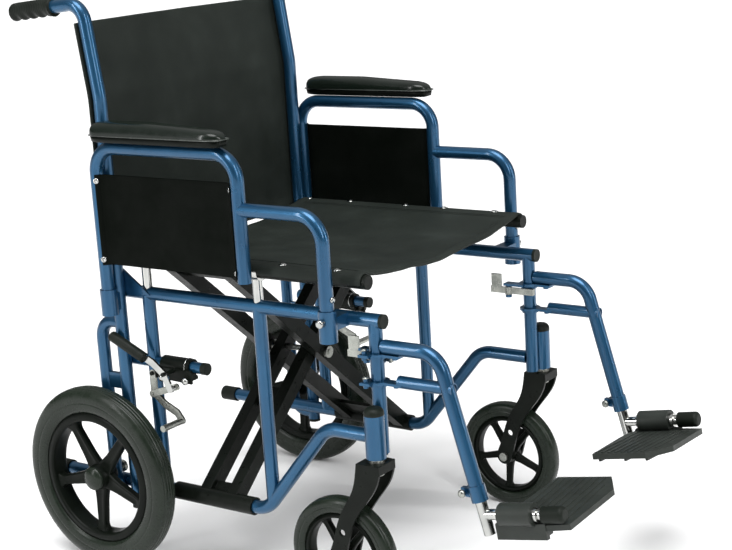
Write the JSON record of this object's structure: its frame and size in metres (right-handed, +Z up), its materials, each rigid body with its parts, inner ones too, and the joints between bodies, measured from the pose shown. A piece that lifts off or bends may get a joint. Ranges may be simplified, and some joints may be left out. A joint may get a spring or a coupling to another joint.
{
  "type": "folding transport wheelchair",
  "caption": "Folding tube-frame transport wheelchair with sling seat and back, swing-away footrests, lift-off armrests and small solid wheels.",
  "frame": {"origin": "on the floor, at the middle of the chair's overall box", "axes": "+X forward, +Y to the sitter's left, +Z up"},
  "size_m": [1.0212, 0.607, 0.9457],
  "materials": {
    "frame_blue": "metallic blue gloss lacquer",
    "black_steel": "semi-gloss black powder coat",
    "chrome": "polished",
    "zinc": "zinc plated",
    "black_plastic": "moulded, satin",
    "black_rubber": "moulded, satin",
    "tyre": "solid polyurethane tyre, satin",
    "arm_pad": "moulded polyurethane, fine grain",
    "nylon": "woven nylon upholstery"
  },
  "bodies": {
    "frame_left": {"back_cane_left": "frame_blue", "side_frame_left": "frame_blue", "frame_plugs_left": "black_rubber", "push_grip_left": "black_rubber", "brake_bracket_left": "zinc", "rear_axle_left": "zinc", "back_upholstery": "nylon"},
    "frame_right": {"back_cane_right": "frame_blue", "side_frame_right": "frame_blue", "frame_plugs_right": "black_rubber", "push_grip_right": "black_rubber", "brake_bracket_right": "zinc", "rear_axle_right": "zinc"},
    "brace_a": {"cross_brace_a": "black_steel", "centre_bolt": "zinc", "seat_upholstery": "nylon"},
    "brace_b": {"cross_brace_b": "black_steel"},
    "guides_left": {"guide_tubes_left": "chrome"},
    "rear_wheel_left": {"rear_rim_left": "black_plastic", "rear_tyre_left": "tyre"},
    "caster_left": {"caster_fork_left": "black_steel", "caster_stem_left": "zinc", "caster_axle_left": "zinc"},
    "caster_wheel_left": {"caster_rim_left": "black_plastic", "caster_tyre_left": "tyre"},
    "armrest_left": {"armrest_frame_left": "frame_blue", "arm_pad_left": "arm_pad", "skirt_guard_left": "black_plastic"},
    "arm_lock_left": {"arm_button_left": "chrome"},
    "hanger_left": {"hanger_left": "frame_blue"},
    "release_left": {"release_lever_left": "zinc"},
    "extension_left": {"extension_tube_left": "chrome", "footplate_bumper_left": "black_rubber"},
    "footplate_left": {"footplate_left": "black_plastic"},
    "brake_lever_left": {"brake_lever_left": "chrome", "brake_grip_left": "black_rubber"},
    "brake_link_left": {"brake_link_left": "zinc"},
    "brake_shoe_left": {"brake_shoe_left": "zinc"},
    "guides_right": {"guide_tubes_right": "chrome"},
    "rear_wheel_right": {"rear_rim_right": "black_plastic", "rear_tyre_right": "tyre"},
    "caster_right": {"caster_fork_right": "black_steel", "caster_stem_right": "zinc", "caster_axle_right": "zinc"},
    "caster_wheel_right": {"caster_rim_right": "black_plastic", "caster_tyre_right": "tyre"},
    "armrest_right": {"armrest_frame_right": "frame_blue", "arm_pad_right": "arm_pad", "skirt_guard_right": "black_plastic"},
    "arm_lock_right": {"arm_button_right": "chrome"},
    "hanger_right": {"hanger_right": "frame_blue"},
    "release_right": {"release_lever_right": "zinc"},
    "extension_right": {"extension_tube_right": "chrome", "footplate_bumper_right": "black_rubber"},
    "footplate_right": {"footplate_right": "black_plastic"},
    "brake_lever_right": {"brake_lever_right": "chrome", "brake_grip_right": "black_rubber"},
    "brake_link_right": {"brake_link_right": "zinc"},
    "brake_shoe_right": {"brake_shoe_right": "zinc"}
  },
  "joints": [
    {"name": "fold", "type": "hinge", "parent": "frame_left", "child": "brace_a", "pos_m": [-0.1486, 0.228, 0.13], "axis": [-1, 0, 0], "range_deg": [0, 34], "deforming": ["seat_upholstery"]},
    {"name": "brace_cross", "type": "hinge", "parent": "brace_a", "child": "brace_b", "pos_m": [-0.1486, 0, 0.3265], "axis": [1, 0, 0], "range_deg": [0, 68]},
    {"name": "right_frame_fold", "type": "hinge", "parent": "brace_b", "child": "frame_right", "pos_m": [-0.1486, -0.228, 0.13], "axis": [-1, 0, 0], "range_deg": [0, 34]},
    {"name": "right_guide_tilt", "type": "hinge", "parent": "brace_a", "child": "guides_right", "pos_m": [-0.1486, -0.228, 0.523], "axis": [1, 0, 0], "range_deg": [0, 34]},
    {"name": "left_guide_tilt", "type": "hinge", "parent": "brace_b", "child": "guides_left", "pos_m": [-0.1486, 0.228, 0.523], "axis": [-1, 0, 0], "range_deg": [0, 34]},
    {"name": "rear_wheel_left", "type": "hinge", "parent": "frame_left", "child": "rear_wheel_left", "pos_m": [-0.3516, 0.282, 0.1546], "axis": [0, 1, 0], "continuous": true},
    {"name": "caster_swivel_left", "type": "hinge", "parent": "frame_left", "child": "caster_left", "pos_m": [0.1964, 0.252, 0.256], "axis": [0, 0, 1], "continuous": true},
    {"name": "caster_wheel_left", "type": "hinge", "parent": "caster_left", "child": "caster_wheel_left", "pos_m": [0.1267, 0.252, 0.0945], "axis": [0, 1, 0], "continuous": true},
    {"name": "armrest_lift_left", "type": "slide", "parent": "frame_left", "child": "armrest_left", "axis": [0, 0, 1], "range_m": [0, 0.12]},
    {"name": "arm_lock_left", "type": "slide", "parent": "frame_left", "child": "arm_lock_left", "axis": [0, 1, 0], "range_m": [0, 0.005], "stiffness_N_per_m": 400},
    {"name": "hanger_swing_left", "type": "hinge", "parent": "frame_left", "child": "hanger_left", "pos_m": [0.1914, 0.228, 0.395], "axis": [0, 0, 1], "range_deg": [0, 95]},
    {"name": "release_lever_left", "type": "hinge", "parent": "hanger_left", "child": "release_left", "pos_m": [0.1604, 0.211, 0.405], "axis": [0, 0, -1], "range_deg": [0, 10], "stiffness_Nm_per_rad": 0.4},
    {"name": "footrest_slide_left", "type": "slide", "parent": "hanger_left", "child": "extension_left", "axis": [0.2741, 0, -0.9617], "range_m": [0, 0.06]},
    {"name": "footplate_flip_left", "type": "hinge", "parent": "extension_left", "child": "footplate_left", "pos_m": [0.3654, 0.228, 0.1943], "axis": [-0.9848, 0, -0.1736], "range_deg": [0, 88.4]},
    {"name": "brake_lever_left", "type": "hinge", "parent": "frame_left", "child": "brake_lever_left", "pos_m": [-0.2036, 0.264, 0.345], "axis": [0, 1, 0], "range_deg": [0, 25]},
    {"name": "brake_link_left", "type": "hinge", "parent": "brake_lever_left", "child": "brake_link_left", "pos_m": [-0.1926, 0.252, 0.321], "axis": [0, 1, 0], "range_deg": [-19.88, 0]},
    {"name": "brake_shoe_left", "type": "hinge", "parent": "frame_left", "child": "brake_shoe_left", "pos_m": [-0.2456, 0.247, 0.337], "axis": [0, 1, 0], "range_deg": [0, 21.38]},
    {"name": "rear_wheel_right", "type": "hinge", "parent": "frame_right", "child": "rear_wheel_right", "pos_m": [-0.3516, -0.282, 0.1546], "axis": [0, 1, 0], "continuous": true},
    {"name": "caster_swivel_right", "type": "hinge", "parent": "frame_right", "child": "caster_right", "pos_m": [0.1964, -0.252, 0.256], "axis": [0, 0, 1], "continuous": true},
    {"name": "caster_wheel_right", "type": "hinge", "parent": "caster_right", "child": "caster_wheel_right", "pos_m": [0.1267, -0.252, 0.0945], "axis": [0, 1, 0], "continuous": true},
    {"name": "armrest_lift_right", "type": "slide", "parent": "frame_right", "child": "armrest_right", "axis": [0, 0, 1], "range_m": [0, 0.12]},
    {"name": "arm_lock_right", "type": "slide", "parent": "frame_right", "child": "arm_lock_right", "axis": [0, -1, 0], "range_m": [0, 0.005], "stiffness_N_per_m": 400},
    {"name": "hanger_swing_right", "type": "hinge", "parent": "frame_right", "child": "hanger_right", "pos_m": [0.1914, -0.228, 0.395], "axis": [0, 0, -1], "range_deg": [0, 95]},
    {"name": "release_lever_right", "type": "hinge", "parent": "hanger_right", "child": "release_right", "pos_m": [0.1604, -0.211, 0.405], "axis": [0, 0, 1], "range_deg": [0, 10], "stiffness_Nm_per_rad": 0.4},
    {"name": "footrest_slide_right", "type": "slide", "parent": "hanger_right", "child": "extension_right", "axis": [0.2741, 0, -0.9617], "range_m": [0, 0.06]},
    {"name": "footplate_flip_right", "type": "hinge", "parent": "extension_right", "child": "footplate_right", "pos_m": [0.3654, -0.228, 0.1943], "axis": [0.9848, 0, 0.1736], "range_deg": [0, 88.4]},
    {"name": "brake_lever_right", "type": "hinge", "parent": "frame_right", "child": "brake_lever_right", "pos_m": [-0.2036, -0.264, 0.345], "axis": [0, 1, 0], "range_deg": [0, 25]},
    {"name": "brake_link_right", "type": "hinge", "parent": "brake_lever_right", "child": "brake_link_right", "pos_m": [-0.1926, -0.252, 0.321], "axis": [0, 1, 0], "range_deg": [-19.88, 0]},
    {"name": "brake_shoe_right", "type": "hinge", "parent": "frame_right", "child": "brake_shoe_right", "pos_m": [-0.2456, -0.247, 0.337], "axis": [0, 1, 0], "range_deg": [0, 21.38]}
  ],
  "couplings": [
    {"joint": "brace_cross", "follows": "fold", "ratio": 2},
    {"joint": "right_frame_fold", "follows": "fold", "ratio": 1},
    {"joint": "right_guide_tilt", "follows": "fold", "ratio": 1},
    {"joint": "left_guide_tilt", "follows": "fold", "ratio": 1},
    {"joint": "footplate_flip_left", "follows": "fold", "ratio": 2.6},
    {"joint": "brake_link_left", "follows": "brake_lever_left", "ratio": -0.795},
    {"joint": "brake_shoe_left", "follows": "brake_lever_left", "ratio": 0.855},
    {"joint": "footplate_flip_right", "follows": "fold", "ratio": 2.6},
    {"joint": "brake_link_right", "follows": "brake_lever_right", "ratio": -0.795},
    {"joint": "brake_shoe_right", "follows": "brake_lever_right", "ratio": 0.855}
  ]
}
